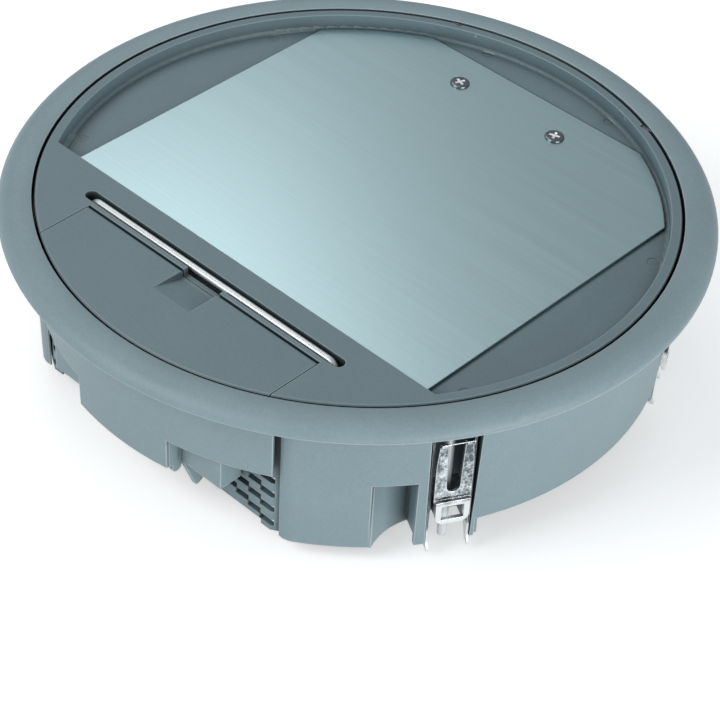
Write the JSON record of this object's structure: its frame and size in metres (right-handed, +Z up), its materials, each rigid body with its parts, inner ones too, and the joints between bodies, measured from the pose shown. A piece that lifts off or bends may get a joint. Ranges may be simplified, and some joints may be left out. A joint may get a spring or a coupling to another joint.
{
  "type": "floor socket box",
  "caption": "Round floor socket box: a flanged mounting frame with screw claws, a hinged lid with steel plate, lifting bar and cable flap, and a vented housing for power and data sockets.",
  "frame": {"origin": "middle of the underside of the device boxes, under the lid's centre", "axes": "+Z up, +X along the lifting bar, -Y towards the cable flap, +Y towards the lid's hinge"},
  "size_m": [0.306, 0.306, 0.0844],
  "materials": {
    "frame_plastic": "moulded, fine grain",
    "lid_plastic": "moulded, fine grain",
    "housing_plastic": "moulded",
    "box_plastic": "moulded",
    "cover_plastic": "moulded",
    "insert_plastic": "moulded, satin",
    "brushed_plate": "brushed",
    "bright_wire": "bright",
    "claw_steel": "zinc plated",
    "zinc_steel": "zinc plated",
    "dark_steel": "blackened",
    "contact_steel": "nickel plated"
  },
  "bodies": {
    "frame": {"mounting_frame": "frame_plastic", "device_housing": "housing_plastic", "housing_screws": "zinc_steel", "box_screws": "zinc_steel", "centre_screws": "zinc_steel", "device_box_left": "box_plastic", "device_box_centre": "box_plastic", "device_box_right": "box_plastic", "box_cover_left": "cover_plastic", "box_cover_centre": "cover_plastic", "box_cover_right": "cover_plastic", "power_socket_left_front": "insert_plastic", "power_socket_left_middle": "insert_plastic", "power_socket_left_rear": "insert_plastic", "power_socket_right_front": "insert_plastic", "power_socket_right_middle": "insert_plastic", "power_socket_right_rear": "insert_plastic", "earth_contact_left_front": "contact_steel", "earth_contact_left_middle": "contact_steel", "earth_contact_left_rear": "contact_steel", "earth_contact_right_front": "contact_steel", "earth_contact_right_middle": "contact_steel", "earth_contact_right_rear": "contact_steel", "data_outlet_front": "insert_plastic", "data_outlet_middle": "insert_plastic", "data_outlet_rear": "insert_plastic", "claw_guide_rear_right": "claw_steel", "claw_guide_rear_left": "claw_steel", "claw_guide_front_left": "claw_steel", "claw_guide_front_right": "claw_steel"},
    "lid": {"lid": "lid_plastic", "lid_plate": "brushed_plate", "lid_plate_screws": "zinc_steel", "lid_hinge_pins": "dark_steel", "flap_pins": "dark_steel"},
    "handle": {"handle_bar": "bright_wire", "handle_clips": "zinc_steel"},
    "flap": {"cable_flap": "lid_plastic"},
    "claw_rear_right": {"claw_rear_right": "claw_steel", "claw_nut_rear_right": "zinc_steel"},
    "screw_rear_right": {"claw_screw_rear_right": "zinc_steel"},
    "claw_rear_left": {"claw_rear_left": "claw_steel", "claw_nut_rear_left": "zinc_steel"},
    "screw_rear_left": {"claw_screw_rear_left": "zinc_steel"},
    "claw_front_left": {"claw_front_left": "claw_steel", "claw_nut_front_left": "zinc_steel"},
    "screw_front_left": {"claw_screw_front_left": "zinc_steel"},
    "claw_front_right": {"claw_front_right": "claw_steel", "claw_nut_front_right": "zinc_steel"},
    "screw_front_right": {"claw_screw_front_right": "zinc_steel"}
  },
  "joints": [
    {"name": "lid_hinge", "type": "hinge", "parent": "frame", "child": "lid", "pos_m": [0, 0.126, 0.0825], "axis": [-1, 0, 0], "range_deg": [0, 95]},
    {"name": "flap_hinge", "type": "hinge", "parent": "lid", "child": "flap", "pos_m": [0, -0.0946, 0.0821], "axis": [-1, 0, 0], "range_deg": [0, 90]},
    {"name": "handle_slide", "type": "slide", "parent": "lid", "child": "handle", "axis": [0, 0, 1], "range_m": [0, 0.014]},
    {"name": "claw_screw_rear_right_turn", "type": "hinge", "parent": "frame", "child": "screw_rear_right", "pos_m": [0.11292, 0.06441, 0.0685], "axis": [0, 0, 1], "range_deg": [0, 7201]},
    {"name": "claw_rear_right_slide", "type": "slide", "parent": "frame", "child": "claw_rear_right", "axis": [0, 0, 1], "range_m": [-0.014, 0]},
    {"name": "claw_screw_rear_left_turn", "type": "hinge", "parent": "frame", "child": "screw_rear_left", "pos_m": [-0.11292, 0.06441, 0.0685], "axis": [0, 0, 1], "range_deg": [0, 7201]},
    {"name": "claw_rear_left_slide", "type": "slide", "parent": "frame", "child": "claw_rear_left", "axis": [0, 0, 1], "range_m": [-0.014, 0]},
    {"name": "claw_screw_front_left_turn", "type": "hinge", "parent": "frame", "child": "screw_front_left", "pos_m": [-0.11292, -0.06441, 0.0685], "axis": [0, 0, 1], "range_deg": [0, 7201]},
    {"name": "claw_front_left_slide", "type": "slide", "parent": "frame", "child": "claw_front_left", "axis": [0, 0, 1], "range_m": [-0.014, 0]},
    {"name": "claw_screw_front_right_turn", "type": "hinge", "parent": "frame", "child": "screw_front_right", "pos_m": [0.11292, -0.06441, 0.0685], "axis": [0, 0, 1], "range_deg": [0, 7201]},
    {"name": "claw_front_right_slide", "type": "slide", "parent": "frame", "child": "claw_front_right", "axis": [0, 0, 1], "range_m": [-0.014, 0]}
  ],
  "couplings": [
    {"joint": "claw_screw_rear_right_turn", "follows": "claw_rear_right_slide", "rad_per_m": -8976},
    {"joint": "claw_screw_rear_left_turn", "follows": "claw_rear_left_slide", "rad_per_m": -8976},
    {"joint": "claw_screw_front_left_turn", "follows": "claw_front_left_slide", "rad_per_m": -8976},
    {"joint": "claw_screw_front_right_turn", "follows": "claw_front_right_slide", "rad_per_m": -8976}
  ]
}
